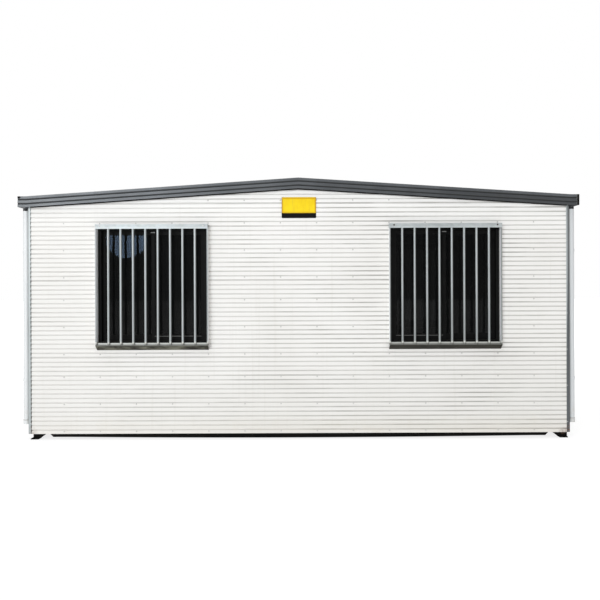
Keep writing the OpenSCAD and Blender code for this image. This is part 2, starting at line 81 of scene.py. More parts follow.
WINDOWS = ("front_left", "front_right", "rear")
WIN_LOW, WIN_HIGH = span("front_right_window_frame")
WIN_X, WIN_Z = (WIN_LOW.x + WIN_HIGH.x) / 2, (WIN_LOW.z + WIN_HIGH.z) / 2
WIN_HALF_W, WIN_HALF_H = (WIN_HIGH.x - WIN_LOW.x) / 2, (WIN_HIGH.z - WIN_LOW.z) / 2
GRILLE_LOW, GRILLE_HIGH = span("front_right_grille")
GRILLE_TOP_Z = GRILLE_HIGH.z
GRILLE_HALF_W = (GRILLE_HIGH.x - GRILLE_LOW.x) / 2


# Sizes of the CAD that its boxes don't show

SHEET_T = 0.0015
RIB_PITCH = 0.050
RIB_BAND = 0.034
BARGE_H = 0.118
BARGE_GROOVE_H = 0.019
BARGE_BAND_H = (BARGE_H - 2 * BARGE_GROOVE_H) / 3
BARGE_FOOT_Z = BARGE_TOP_Z - BARGE_H / math.cos(PITCH)
ROOF_RIBS = 16
ROOF_RIB_PITCH = 0.190
ROOF_RIB_H = 0.028
ROOF_RIB_FOOT, ROOF_RIB_TOP = 0.052, 0.022
PANE_T, PANE_W = 0.005, 0.517
DRIP_H = 0.054
GRILLE_Z = GRILLE_LOW.z + DRIP_H
BAR_COUNT = 8
BAR_R = 0.0125
SIDE_BAR_W = 0.012
BAR_PITCH = (2 * GRILLE_HALF_W - SIDE_BAR_W) / (BAR_COUNT + 1)


# The bare plate over the middle of the front

PLATE_X, PLATE_W = 0.005, 0.381
PLATE_LOW_Z, PLATE_HIGH_Z = 2.442, 2.674
PLATE_T = 0.003
PLATE_BORDER = 0.0015
PLATE_BAND_H = 0.056


# Meshes

class Soup:
    """Collects vertices and faces of many small shapes for one joined mesh."""

    def __init__(self):
        self.verts, self.faces = [], []

    def add(self, verts, faces):
        first = len(self.verts)
        self.verts += [tuple(v) for v in verts]
        self.faces += [tuple(first + i for i in f) for f in faces]

    def loft(self, *rings):
        """Joins rings of as many points each, and closes both ends."""
        n = len(rings[0])
        faces = [
            (k * n + i, k * n + (i + 1) % n, (k + 1) * n + (i + 1) % n, (k + 1) * n + i)
            for k in range(len(rings) - 1)
            for i in range(n)
        ]
        last = (len(rings) - 1) * n
        faces += [tuple(reversed(range(n))), tuple(range(last, last + n))]
        self.add([v for ring in rings for v in ring], faces)

    def turned(self, origin, axis, profile, sides):
        """A shape turned about axis; profile is (distance from origin along it, radius) pairs."""
        turn = Vector(axis).to_track_quat("Z", "Y").to_matrix()
        angles = [2 * math.pi * (i + 0.5) / sides for i in range(sides)]
        self.loft(*(
            [Vector(origin) + turn @ Vector((r * math.cos(a), r * math.sin(a), h)) for a in angles]
            for h, r in profile
        ))

    def plate(self, low, high, radius, y_back, y_front, edge):
        """An upright plate with round corners and a chamfered front; low and high are (x, z)."""
        steps = 5

        def ring(inset, y):
            r = radius - inset
            corners = (
                (high[0] - radius, high[1] - radius, 0), (low[0] + radius, high[1] - radius, 1),
                (low[0] + radius, low[1] + radius, 2), (high[0] - radius, low[1] + radius, 3),
            )
            return [
                (cx + r * math.cos(a), y, cz + r * math.sin(a))
                for cx, cz, quarter in corners
                for a in (math.pi / 2 * (quarter + i / steps) for i in range(steps + 1))
            ]

        out = math.copysign(edge, y_front - y_back)
        self.loft(ring(0.0, y_back), ring(0.0, y_front - out), ring(edge, y_front))


def piece(name, soup, material, smooth=False):
    """Makes one object of the soup, riding on the cabin's body."""
    mesh = bpy.data.meshes.new(name)
    mesh.from_pydata(soup.verts, [], soup.faces)
    mesh.materials.append(material)
    face_out(mesh)
    if smooth:
        mesh.polygons.foreach_set("use_smooth", [True] * len(mesh.polygons))
    obj = bpy.data.objects.new(name, mesh)
    bpy.context.scene.collection.objects.link(obj)
    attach(obj, BODY)


def face_out(mesh):
    work = bmesh.new()
    work.from_mesh(mesh)
    bmesh.ops.recalc_face_normals(work, faces=work.faces)
    work.to_mesh(mesh)
    work.free()


EDGE_SEGMENTS = 2
EDGE_ANGLE = math.radians(35)


def soften(obj, width):
    mod = obj.modifiers.new("edges", "BEVEL")
    mod.width = width
    mod.segments = EDGE_SEGMENTS
    mod.limit_method = "ANGLE"
    mod.angle_limit = EDGE_ANGLE
    mod.harden_normals = True
    mod.use_clamp_overlap = True


# Materials

class Paint:
    """A procedural material: small helpers that wire nodes."""

    def __init__(self, name):
        self.mat = bpy.data.materials.new(name)
        self.mat.use_nodes = True
        self.tree = self.mat.node_tree
        self.shader = self.tree.nodes["Principled BSDF"]
        self.coords = self.tree.nodes.new("ShaderNodeTexCoord").outputs["Object"]

    def link(self, a, b):
        self.tree.links.new(a, b)

    def put(self, socket, value):
        if isinstance(value, bpy.types.NodeSocket):
            self.link(value, socket)
        elif isinstance(value, tuple) and len(socket.default_value) == 4:
            socket.default_value = (*value, 1.0)
        else:
            socket.default_value = value

    def set(self, **values):
        for name, value in values.items():
            self.put(self.shader.inputs[name.replace("_", " ")], value)

    def math(self, op, a, b=0.0):
        node = self.tree.nodes.new("ShaderNodeMath")
        node.operation = op
        self.put(node.inputs[0], a)
        self.put(node.inputs[1], b)
        return node.outputs[0]

    def minus(self, a, b):
        return self.math("SUBTRACT", a, b)

    def rest(self, share):
        return self.minus(1.0, share)

    def absolute(self, value):
        return self.math("ABSOLUTE", value)

    def phase(self, value, pitch):
        """How far value has come, from 0 to 1, through a pattern that repeats each pitch."""
        return self.math("FRACT", self.math("DIVIDE", value, pitch))

    def times(self, first, *rest):
        for value in rest:
            first = self.math("MULTIPLY", first, value)
        return first

    def most(self, first, *rest):
        for value in rest:
            first = self.math("MAXIMUM", first, value)
        return first

    def ramp(self, value, start, end, low=0.0, high=1.0):
        """A smooth step from low at start to high at end."""
        node = self.tree.nodes.new("ShaderNodeMapRange")
        node.interpolation_type = "SMOOTHSTEP"
        for socket, v in zip(node.inputs, (value, start, end, low, high)):
            self.put(socket, v)
        return node.outputs[0]

    def fade(self, value, start, end, high=1.0):
        return self.ramp(value, start, end, high, 0.0)

    def spread(self, share, low, high):
        return self.ramp(share, 0.0, 1.0, low, high)

    def across(self, x, left, right):
        """A change along the whole cabin, from its left end to its right end."""
        return self.ramp(x, -END_X, END_X, left, right)

    def halves(self, x, left, right):
        """One value on the left window or pipe, another on the right one."""
        return self.ramp(x, -1.0, 1.0, left, right)

    def mix(self, share, a, b, mode="MIX"):
        node = self.tree.nodes.new("ShaderNodeMix")
        node.data_type = "RGBA"
        node.blend_type = mode
        self.put(node.inputs["Factor"], share)
        self.put(node.inputs[6], a)
        self.put(node.inputs[7], b)
        return node.outputs[2]

    def noise(self, scale, detail=4.0, rough=0.55, stretch=(1.0, 1.0, 1.0)):
        place = self.tree.nodes.new("ShaderNodeMapping")
        place.inputs["Scale"].default_value = stretch
        self.link(self.coords, place.inputs["Vector"])
        node = self.tree.nodes.new("ShaderNodeTexNoise")
        node.inputs["Scale"].default_value = scale
        node.inputs["Detail"].default_value = detail
        node.inputs["Roughness"].default_value = rough
        self.link(place.outputs[0], node.inputs["Vector"])
        return node.outputs["Fac"]

    def blots(self, scale, start=0.3, end=0.7, detail=5.0, rough=0.6, stretch=(1.0, 1.0, 1.0)):
        return self.ramp(self.noise(scale, detail, rough, stretch), start, end)

    def cells(self, scale):
        node = self.tree.nodes.new("ShaderNodeTexVoronoi")
        node.inputs["Scale"].default_value = scale
        self.link(self.coords, node.inputs["Vector"])
        return node.outputs["Color"]

    def split(self, vector):
        node = self.tree.nodes.new("ShaderNodeSeparateXYZ")
        self.link(vector, node.inputs[0])
        return node.outputs

    def xyz(self):
        return self.split(self.coords)

    def normal(self):
        return self.split(self.tree.nodes.new("ShaderNodeNewGeometry").outputs["Normal"])

    def distance(self, point):
        node = self.tree.nodes.new("ShaderNodeVectorMath")
        node.operation = "DISTANCE"
        self.link(self.coords, node.inputs[0])
        node.inputs[1].default_value = point
        return node.outputs["Value"]

    def near(self, point, reach):
        """1 at a point, falling to 0 at reach metres from it."""
        return self.fade(self.distance(point), 0.0, reach)

    def bump(self, height, distance):
        node = self.tree.nodes.new("ShaderNodeBump")
        node.inputs["Distance"].default_value = distance
        self.link(height, node.inputs["Height"])
        self.link(node.outputs[0], self.shader.inputs["Normal"])


RUST = (0.145, 0.066, 0.032)

COAT_TONES = (0.797, 0.778, 0.748), (0.840, 0.822, 0.798)
COAT_SHADOW_LIFT = (0.96, 0.95, 0.93)
COAT_STREAK = (0.66, 0.63, 0.57)
COAT_FILM = (0.60, 0.58, 0.53)
COAT_SPLASH = (0.62, 0.57, 0.46)
FILM_HEIGHTS = 0.3, 1.2
GROOVE_DUST_AND_SHADE = (0.44, 0.43, 0.405)
LAP_RIBS = (17, 34, 51)
LAP_DARK = (0.30, 0.29, 0.27)
WINDOW_GAP_SHADE = (0.015, 0.015, 0.014)
GAP_SHADE_W, GAP_SHADE_BLUR = 0.007, 0.001


def cladding_white():
    """Off-white coating: dust and painted shade in the grooves, laps, painted shade round the
    windows, painted light under the barges, and dirt and rust near the foot.
    """
    p = Paint("cladding_white")
    x, y, z = p.xyz()
    height = p.minus(z, CLAD_Z)
    mottle = p.blots(0.9)
    colour = p.mix(mottle, *COAT_TONES)
    streak = p.blots(1.0, 0.52, 0.80, stretch=(20.0, 20.0, 0.5))
    colour = p.mix(p.times(streak, 0.30), colour, COAT_STREAK)

    film = p.times(p.fade(height, *FILM_HEIGHTS), p.across(x, 0.10, 0.24))
    film = p.most(film, p.fade(x, -END_X, -1.0, 0.14))
    colour = p.mix(film, colour, COAT_FILM)
    # Painted light: the cladding under the barges is lightened, lifting the shade that they cast.
    under_barge = p.minus(p.minus(BARGE_FOOT_Z, p.times(p.absolute(x), SLOPE)), z)
    barge_shadow_lift = p.most(p.fade(under_barge, 0.0, 0.11), p.fade(under_barge, 0.0, 0.42, 0.55))
    barge_shadow_lift = p.times(barge_shadow_lift, p.ramp(x, -END_X, -1.2, 0.35, 1.0))
    colour = p.mix(barge_shadow_lift, colour, COAT_SHADOW_LIFT)

    part = p.phase(height, RIB_PITCH)
    band = RIB_BAND / RIB_PITCH
    groove = p.times(p.ramp(part, band - 0.02, band + 0.05), p.fade(part, 0.93, 1.0))
    # Dust and painted shade in the grooves; the painted shade deepens towards the right end.
    dust = p.most(0.45, p.blots(3.0, 0.2, 0.8, stretch=(0.3, 0.3, 1.0)))
    dust = p.times(dust, p.across(x, 0.76, 1.25), p.ramp(height, *FILM_HEIGHTS, 0.88, 1.0))
    colour = p.mix(p.times(groove, dust), colour, GROOVE_DUST_AND_SHADE)
    laps = p.most(*(
        p.fade(p.absolute(p.minus(height, rib * RIB_PITCH)), 0.001, 0.004) for rib in LAP_RIBS
    ))
    colour = p.mix(p.times(laps, 0.6), colour, LAP_DARK)

    # Painted shade: a near-black strip round each window opening, in the gap behind the grille.
    gap_shade_x, gap_shade_z = WIN_HALF_W + GAP_SHADE_W, WIN_HALF_H + GAP_SHADE_W
    aside = p.absolute(p.minus(p.absolute(x), WIN_X))
    above = p.absolute(p.minus(z, WIN_Z))
    has_window = p.most(p.math("LESS_THAN", y, 0.0), p.math("GREATER_THAN", x, 0.0))
    window_gap_shade = p.times(
        p.fade(aside, gap_shade_x - GAP_SHADE_BLUR, gap_shade_x + GAP_SHADE_BLUR),
        p.fade(above, gap_shade_z - GAP_SHADE_BLUR, gap_shade_z + GAP_SHADE_BLUR),
        has_window,
    )
    colour = p.mix(p.times(window_gap_shade, 0.92), colour, WINDOW_GAP_SHADE)

    patches = p.most(0.40, p.blots(4.0, 0.30, 0.85, detail=6.0, rough=0.65))
    splash = p.times(p.fade(height, 0.0, 0.28), patches)
    colour = p.mix(p.times(splash, p.across(x, 0.34, 0.62)), colour, COAT_SPLASH)
    rust_at = p.most(
        p.near((END_X - 0.07, FRONT_Y, CLAD_Z - 0.01), 0.085),
        p.times(p.near((-END_X + 0.04, FRONT_Y, CLAD_Z), 0.09), 0.6),
    )
    rust = p.times(rust_at, p.blots(38.0, 0.36, 0.62, detail=6.0, rough=0.7))
    colour = p.mix(rust, colour, RUST)
    p.set(Base_Color=colour, Roughness=p.spread(mottle, 0.36, 0.48), Specular_IOR_Level=0.35)
    p.bump(p.noise(260.0, 2.0), 0.00025)
    return p.mat


TRIM_TONES = (0.39, 0.42, 0.42), (0.48, 0.51, 0.51)
TRIM_UPPER_LIGHT = (0.62, 0.65, 0.65)
TRIM_GAP_SHADE = (0.060, 0.063, 0.060)
TRIM_OUTER_SHADE = (0.114, 0.122, 0.126)
TRIM_UPPER_Z = 1.6, 2.2


def trim_grey():
    """Corner trims: painted shade in the gaps at the ribs on the left corners and painted light high
    up on them, painted shade on the outer edge of the right ones, rusty feet.
    """
    p = Paint("trim_grey")
    x, y, z = p.xyz()
    tone = p.blots(6.0, stretch=(1.0, 1.0, 0.25))
    colour = p.mix(tone, *TRIM_TONES)
    inwards = p.most(p.minus(END_X, p.absolute(x)), p.minus(REAR_Y, p.absolute(y)))
    # The right corners take painted shade and the left ones painted light.
    right_corners = p.math("GREATER_THAN", x, 0.0)
    lee = p.rest(right_corners)
    # Painted light: the left corners lighter towards the top.
    colour = p.mix(p.times(lee, p.ramp(z, *TRIM_UPPER_Z, 0.0, 0.32)), colour, TRIM_UPPER_LIGHT)

    # Painted shade in the step between the left trims and the cladding, dotted at the grooves.
    part = p.phase(p.minus(z, CLAD_Z), RIB_PITCH)
    dash = p.times(p.ramp(part, 0.25, 0.45, 0.45, 1.0), p.ramp(part, 0.90, 1.0, 1.0, 0.45))
    edge = p.times(p.ramp(inwards, 0.029, 0.033), dash, lee, p.ramp(z, *TRIM_UPPER_Z, 1.0, 0.75))
    colour = p.mix(edge, colour, TRIM_GAP_SHADE)

    # Painted shade on the outer edge of the right trims, and a thin line of it on the left ones.
    past_right_corner_shade = p.minus(inwards, p.ramp(z, 0.4, 2.0, 0.042, 0.024))
    right_corner_shade = p.times(right_corners, p.fade(past_right_corner_shade, 0.0, 0.006), p.ramp(z, 1.2, 2.4, 1.0, 0.75))
    outer_shade = p.most(p.times(lee, p.fade(inwards, 0.004, 0.010, 0.35)), right_corner_shade)
    colour = p.mix(outer_shade, colour, TRIM_OUTER_SHADE)

    foot = p.times(p.fade(z, CLAD_Z, CLAD_Z + 0.14), p.across(x, 0.35, 1.0))
    rust = p.times(foot, p.blots(34.0, 0.42, 0.60, detail=6.0, rough=0.7))
    colour = p.mix(rust, colour, RUST)
    p.set(
        Base_Color=colour,
        Metallic=0.45,
        Roughness=p.spread(tone, 0.42, 0.54),
        Specular_IOR_Level=0.3,
    )
    p.bump(p.noise(120.0, 3.0), 0.0003)
    return p.mat


ROOF_TONES = (0.066, 0.072, 0.078), (0.090, 0.097, 0.104)
ROOF_STREAK = (0.050, 0.048, 0.042)
ROOF_DUST = (0.25, 0.245, 0.23)
ROOF_WORN_ROUGH, ROOF_WORN_SPECULAR = 0.58, 0.25
BARGE_LEFT_SHEEN = (0.088, 0.101, 0.113)
BARGE_SHADE = (0.010, 0.011, 0.012)


def roof_coat(p, rough, specular):
    """The dark grey coating of the roof's sheet metal, dusty and duller where it faces up."""
    up = p.ramp(p.normal()[2], 0.5, 0.95)
    tone = p.blots(2.2)
    colour = p.mix(tone, *ROOF_TONES)
    streak = p.blots(1.0, 0.5, 0.8, detail=6.0, rough=0.65, stretch=(14.0, 14.0, 2.0))
    colour = p.mix(p.times(streak, 0.35), colour, ROOF_STREAK)
    dust = p.times(up, p.blots(4.0, 0.3, 0.75, detail=6.0), 0.45)
    colour = p.mix(dust, colour, ROOF_DUST)
    p.set(
        Roughness=p.most(p.spread(tone, *rough), p.times(up, ROOF_WORN_ROUGH)),
        Specular_IOR_Level=p.spread(up, specular, ROOF_WORN_SPECULAR),
    )
    p.bump(p.noise(180.0, 2.0), 0.0003)
    return colour


def roof_grey():
    p = Paint("roof_grey")
    p.set(Base_Color=roof_coat(p, rough=(0.50, 0.64), specular=0.25))
    return p.mat


def barge_grey():
    """The roof's coating on the grooved barges and gutter stops, with painted shade in the grooves,
    under the stops and towards the right end, and a painted sheen towards the left end.
    """
    p = Paint("barge_grey")
    colour = roof_coat(p, rough=(0.30, 0.42), specular=0.6)
    x, y, z = p.xyz()
    run = p.absolute(x)
    barge_top = p.minus(BARGE_TOP_Z, p.times(run, SLOPE))
    past_corner = p.math("GREATER_THAN", run, END_X + SHEET_T)
    depth = p.math(
        "ADD",
        p.times(p.minus(barge_top, z), p.rest(past_corner)),
        p.times(p.minus(GUTTER_TOP_Z, z), past_corner),
    )
    step = BARGE_BAND_H + BARGE_GROOVE_H
    part = p.phase(depth, step)
    edge = BARGE_BAND_H / step
    groove = p.times(p.ramp(part, edge - 0.02, edge + 0.06), p.fade(part, 0.90, 0.98))
    on_face = p.ramp(p.absolute(y), -BARGE_Y - 0.012, -BARGE_Y - 0.010)
    below_top = p.math("GREATER_THAN", depth, 0.0)
    # Painted shade in the grooves, under the gutter stops, and on the lower bands towards the right
    # end.
    groove_shade = p.times(groove, on_face, below_top, p.across(x, 0.80, 0.97))
    stop_foot_shade = p.times(past_corner, p.ramp(depth, BARGE_H - 0.008, BARGE_H + 0.004, 0.0, 0.95))
    lower_bands = p.ramp(depth, BARGE_BAND_H * 0.9, BARGE_BAND_H * 1.4, 0.0, 0.55)
    side_shading = p.times(p.ramp(x, -0.5, END_X), lower_bands)
    # Painted sheen: the barge lighter towards the left end.
    colour = p.mix(p.fade(x, -END_X, 0.8, 0.60), colour, BARGE_LEFT_SHEEN)
    p.set(Base_Color=p.mix(p.most(groove_shade, stop_foot_shade, side_shading), colour, BARGE_SHADE))
    return p.mat


def base_black():
    p = Paint("base_black")
    up = p.ramp(p.normal()[2], 0.4, 0.9)
    tone = p.blots(9.0, 0.35, 0.7)
    colour = p.mix(tone, (0.0022, 0.0022, 0.0020), (0.0070, 0.0066, 0.0058))
    scuff = p.blots(55.0, 0.62, 0.74, rough=0.7, stretch=(1.0, 1.0, 0.5))
    colour = p.mix(p.times(scuff, 0.30), colour, (0.050, 0.032, 0.022))
    dust = p.times(up, p.blots(14.0, 0.35, 0.75), 0.5)
    colour = p.mix(dust, colour, (0.14, 0.125, 0.10))
    rust_at = p.near((END_X - 0.07, FRONT_Y + 0.04, CLAD_Z), 0.045)
    colour = p.mix(p.times(rust_at, p.blots(60.0, 0.35, 0.6)), colour, (0.12, 0.07, 0.045))
    p.set(Base_Color=colour, Roughness=p.spread(tone, 0.6, 0.85), Specular_IOR_Level=0.06)
    p.bump(p.noise(140.0, 4.0), 0.0005)
    return p.mat


PIPE_SOCKET_H = 0.046


def pipe_white():
    """White plastic pipes, the right one greyer and the left one darker on its outer side in painted
    shade, with a dark joint at the socket and dirty feet.
    """
    p = Paint("pipe_white")
    x, _, z = p.xyz()
    tone = p.blots(3.0, stretch=(1.0, 1.0, 0.2))
    colour = p.mix(tone, (0.76, 0.775, 0.775), (0.81, 0.82, 0.82))
    # Painted shade: the right pipe greyer, and the left pipe darker on its outer side.
    colour = p.mix(p.halves(x, 0.0, 0.55), colour, (0.50, 0.52, 0.53))
    outer = p.times(p.math("LESS_THAN", x, 0.0), p.fade(p.normal()[0], -0.9, 0.4, 0.6))
    colour = p.mix(outer, colour, (0.56, 0.57, 0.575))
    joint = p.fade(p.absolute(p.minus(z, PIPE_Z + PIPE_SOCKET_H)), 0.002, 0.006, 0.55)
    colour = p.mix(joint, colour, (0.22, 0.19, 0.165))
    low = p.fade(z, CLAD_Z + 0.1, CLAD_Z + 0.4, 0.6)
    colour = p.mix(p.times(low, p.blots(16.0, 0.4, 0.7)), colour, (0.52, 0.48, 0.40))
    p.set(Base_Color=colour, Roughness=p.spread(tone, 0.24, 0.36))
    p.bump(p.noise(90.0, 2.0), 0.0002)
    return p.mat


def window_dark():
    p = Paint("window_dark")
    tone = p.blots(12.0)
    colour = p.mix(tone, (0.0035, 0.0035, 0.0035), (0.0075, 0.0075, 0.0070))
    dust = p.times(p.ramp(p.normal()[2], 0.5, 0.95), 0.35)
    colour = p.mix(dust, colour, (0.12, 0.115, 0.105))
    p.set(Base_Color=colour, Roughness=p.spread(tone, 0.42, 0.58), Specular_IOR_Level=0.07)
    p.bump(p.noise(400.0, 2.0), 0.0001)
    return p.mat


def glass():
    p = Paint("glass")
    smear = p.blots(7.0, 0.45, 0.8, stretch=(1.0, 1.0, 0.45))
    p.set(
        Base_Color=p.mix(smear, (0.055, 0.057, 0.058), (0.075, 0.076, 0.075)),
        Transmission_Weight=0.93,
        IOR=1.17,
        Roughness=p.spread(smear, 0.0, 0.04),
    )
    return p.mat


ZINC_TONES = (0.455, 0.487, 0.49), (0.525, 0.555, 0.555)
ZINC_DRIP = (0.34, 0.31, 0.25)
ZINC_SHADE = (0.17, 0.18, 0.175)
ZINC_RAIL = (0.27, 0.29, 0.29)
ZINC_CHEEK_LIGHT = (0.93, 0.945, 0.945)
ZINC_LEE_SHADE = (0.10, 0.105, 0.105)
ZINC_SIDE_FRONT = (0.17, 0.18, 0.18)
ZINC_FOOT_RAIL = (0.62, 0.62, 0.575)
ZINC_FOOT_DARK = (0.075, 0.075, 0.065)
DRIP_SHADED_AND_LIT = (0.013, 0.012, 0.008), (0.18, 0.18, 0.14)


def grille_zinc():
    """Galvanised grilles: faint spangle; painted shade on the bars downwards and to the right, on
    their faces turned away to the right and on the right window's drip; painted light on the cheeks
    of the side bars; painted shadow at the bars' feet.
    """
    p = Paint("grille_zinc")
    x, y, z = p.xyz()
    tone = p.blots(5.0, stretch=(1.0, 1.0, 0.3))
    colour = p.mix(tone, *ZINC_TONES)
    colour = p.mix(0.05, colour, p.cells(85.0), "SOFT_LIGHT")
    drips = p.blots(1.0, 0.60, 0.82, detail=6.0, rough=0.65, stretch=(30.0, 30.0, 1.2))
    colour = p.mix(p.times(drips, 0.3), colour, ZINC_DRIP)

    under_rail = p.fade(z, GRILLE_TOP_Z - 0.052, GRILLE_TOP_Z - 0.050)
    downwards = p.fade(z, GRILLE_Z, GRILLE_TOP_Z - 0.1)
    # Painted shade: the bars darker below the top rail on the right window, and downwards, more on
    # the right.
    bar_shade = p.times(under_rail, p.halves(x, 0.0, 0.26))
    bar_shade = p.most(bar_shade, p.times(downwards, p.halves(x, 0.24, 0.58)))
    colour = p.mix(bar_shade, colour, ZINC_SHADE)
    rail_mottle = p.blots(24.0, 0.3, 0.7, stretch=(0.6, 1.0, 1.0))
    rail = p.times(p.ramp(z, GRILLE_TOP_Z - 0.034, GRILLE_TOP_Z - 0.026), rail_mottle)
    colour = p.mix(p.times(rail, 0.45), colour, ZINC_RAIL)

    aside = p.absolute(p.minus(p.absolute(x), WIN_X))
    side_bar_x = GRILLE_HALF_W - SIDE_BAR_W
    side = p.ramp(aside, side_bar_x - 0.001, side_bar_x)
    front = p.ramp(p.absolute(y), -GRILLE_LOW.y - 0.009, -GRILLE_LOW.y - 0.007)
    facing = p.normal()[0]
    # Painted light: the cheeks of the side bars made near white.
    lit_cheek = p.times(side, p.ramp(p.absolute(facing), 0.8, 0.95), under_rail)
    colour = p.mix(lit_cheek, colour, ZINC_CHEEK_LIGHT)
    # Painted shade on the faces of the bars that turn away to the right, deeper on the right window.
    lee = p.times(p.ramp(facing, 0.15, 0.80), p.rest(side), under_rail)
    colour = p.mix(p.times(lee, p.halves(x, 0.45, 0.75)), colour, ZINC_LEE_SHADE)
    colour = p.mix(p.times(side, front, under_rail, 0.6), colour, ZINC_SIDE_FRONT)

    foot_rail = p.fade(z, GRILLE_Z + 0.038, GRILLE_Z + 0.046, 0.75)
    colour = p.mix(foot_rail, colour, ZINC_FOOT_RAIL)
    # Painted shadow beside the foot of each bar, and the foot rail darker along its lower edge.
    off_bar = p.absolute(p.minus(p.phase(aside, BAR_PITCH), 0.5))
    low = p.fade(z, GRILLE_Z + 0.006, GRILLE_Z + 0.030, 0.85)
    foot_dark = p.times(p.fade(off_bar, 0.06, 0.14), low)
    foot_dark = p.most(foot_dark, p.fade(z, GRILLE_Z + 0.008, GRILLE_Z + 0.014, 0.75))
    colour = p.mix(foot_dark, colour, ZINC_FOOT_DARK)
    # Painted shade on the drips: near black under the right window, lighter under the left one.
    side_shading = p.blots(7.0, 0.36, 0.66, detail=6.0, rough=0.65, stretch=(0.5, 1.0, 1.0))
    side_shading = p.times(side_shading, p.halves(x, 1.0, 0.08))
    on_drip = p.fade(z, GRILLE_Z - 0.004, GRILLE_Z + 0.001)
    colour = p.mix(on_drip, colour, p.mix(side_shading, *DRIP_SHADED_AND_LIT))
    p.set(
        Base_Color=colour,
        Metallic=p.spread(lit_cheek, 0.35, 0.0),
        Roughness=p.spread(tone, 0.36, 0.5),
        Specular_IOR_Level=0.25,
    )
    p.bump(p.noise(150.0, 3.0), 0.0003)
    return p.mat


BOARD_W = 1.2


def lining():
    """Pale boards with a fine joint at each board's width."""
    p = Paint("lining")
    x, y, _ = p.xyz()
    part = p.phase(p.math("ADD", x, y), BOARD_W)
    joint = p.math("GREATER_THAN", p.absolute(p.minus(part, 0.5)), 0.497)
    colour = p.mix(p.blots(1.6), (0.56, 0.55, 0.51), (0.63, 0.62, 0.58))
    p.set(Base_Color=p.mix(joint, colour, (0.40, 0.39, 0.36)), Roughness=0.6)
    p.bump(p.noise(300.0, 2.0), 0.0002)
    return p.mat


def deck_timber():
    p = Paint("deck_timber")
    grain = p.blots(1.0, detail=7.0, rough=0.65, stretch=(3.0, 70.0, 70.0))
    colour = p.mix(grain, (0.23, 0.15, 0.085), (0.36, 0.26, 0.16))
    colour = p.mix(p.times(p.blots(2.5), 0.35), colour, (0.20, 0.17, 0.13))
    p.set(Base_Color=colour, Roughness=p.spread(grain, 0.55, 0.7))
    p.bump(grain, 0.0004)
    return p.mat


def door_white():
    p = Paint("door_white")
    z = p.xyz()[2]
    tone = p.blots(1.4)
    colour = p.mix(tone, (0.76, 0.755, 0.735), (0.81, 0.805, 0.785))
    marks = p.blots(9.0, 0.48, 0.72, detail=6.0, rough=0.68, stretch=(1.0, 1.0, 2.2))
    scuff = p.times(p.fade(z, 0.15, 0.75), marks, 0.5)
    colour = p.mix(scuff, colour, (0.42, 0.38, 0.31))
    p.set(Base_Color=colour, Roughness=p.spread(tone, 0.3, 0.42))
    p.bump(p.noise(260.0, 2.0), 0.0002)
    return p.mat


def plain(name, scale, dark, light, rough, stretch=(1.0, 1.0, 1.0), **values):
    """A finish of two tones that only the noise tells apart; the tone also sets its roughness."""
    p = Paint(name)
    tone = p.blots(scale, stretch=stretch)
    p.set(Base_Color=p.mix(tone, dark, light), Roughness=p.spread(tone, *rough), **values)
    return p


def door_steel():
    return plain(
        "door_steel", 1.0, (0.50, 0.51, 0.52), (0.62, 0.63, 0.64), (0.26, 0.4),
        stretch=(40.0, 40.0, 600.0), Metallic=1.0,
    ).mat


def screw_zinc():
    return plain(
        "screw_zinc", 30.0, (0.50, 0.49, 0.47), (0.63, 0.62, 0.60), (0.38, 0.55), Metallic=0.25,
    ).mat


def bolt_dark():
    return plain(
        "bolt_dark", 60.0, (0.020, 0.018, 0.016), (0.060, 0.042, 0.030), (0.5, 0.75), Metallic=0.3,
    ).mat


def bright_strip():
    return plain(
        "bright_strip", 14.0, (0.15, 0.15, 0.145), (0.23, 0.23, 0.22), (0.4, 0.55),
        stretch=(0.2, 1.0, 1.0), Metallic=0.3,
    ).mat


def rubber_black():
    p = plain(
        "rubber_black", 40.0, (0.004, 0.004, 0.004), (0.009, 0.0088, 0.0085), (0.6, 0.8),
        Specular_IOR_Level=0.08,
    )
    p.bump(p.noise(220.0, 2.0), 0.0002)
    return p.mat


YELLOW_TONES = (0.84, 0.57, 0.007), (0.91, 0.67, 0.010)
YELLOW_EDGE = (0.58, 0.30, 0.008)
YELLOW_DRIP = (0.46, 0.31, 0.07)


def plate_yellow():
    """Yellow paint, darker along its edges, with faint runs of dirt."""
    p = Paint("plate_yellow")
    x, _, z = p.xyz()
    tone = p.blots(8.0)
    colour = p.mix(tone, *YELLOW_TONES)
    from_side = p.minus(PLATE_W / 2, p.absolute(p.minus(x, PLATE_X)))
    below_top = p.minus(PLATE_HIGH_Z, z)
    above_band = p.minus(z, PLATE_LOW_Z + PLATE_BAND_H - PLATE_BORDER)
    sides = p.fade(from_side, 0.013, 0.020)
    top = p.times(p.ramp(below_top, 0.007, 0.011), p.fade(below_top, 0.019, 0.024))
    foot = p.fade(above_band, 0.012, 0.020, 0.6)
    colour = p.mix(p.times(p.most(sides, top, foot), 0.8), colour, YELLOW_EDGE)
    drips = p.blots(1.0, 0.55, 0.8, detail=6.0, rough=0.6, stretch=(45.0, 45.0, 2.0))
    colour = p.mix(p.times(drips, 0.3), colour, YELLOW_DRIP)
    p.set(Base_Color=colour, Roughness=p.spread(tone, 0.3, 0.42), Specular_IOR_Level=0.2)
    p.bump(p.noise(90.0, 2.0), 0.0002)
    return p.mat


CABIN_SHADOW_X, CABIN_SHADOW_Y, CABIN_SHADOW_BOW = 2.60, 1.43, 0.010
CABIN_SHADOW_BLUR_X, CABIN_SHADOW_BLUR_Y = 0.05, 0.012


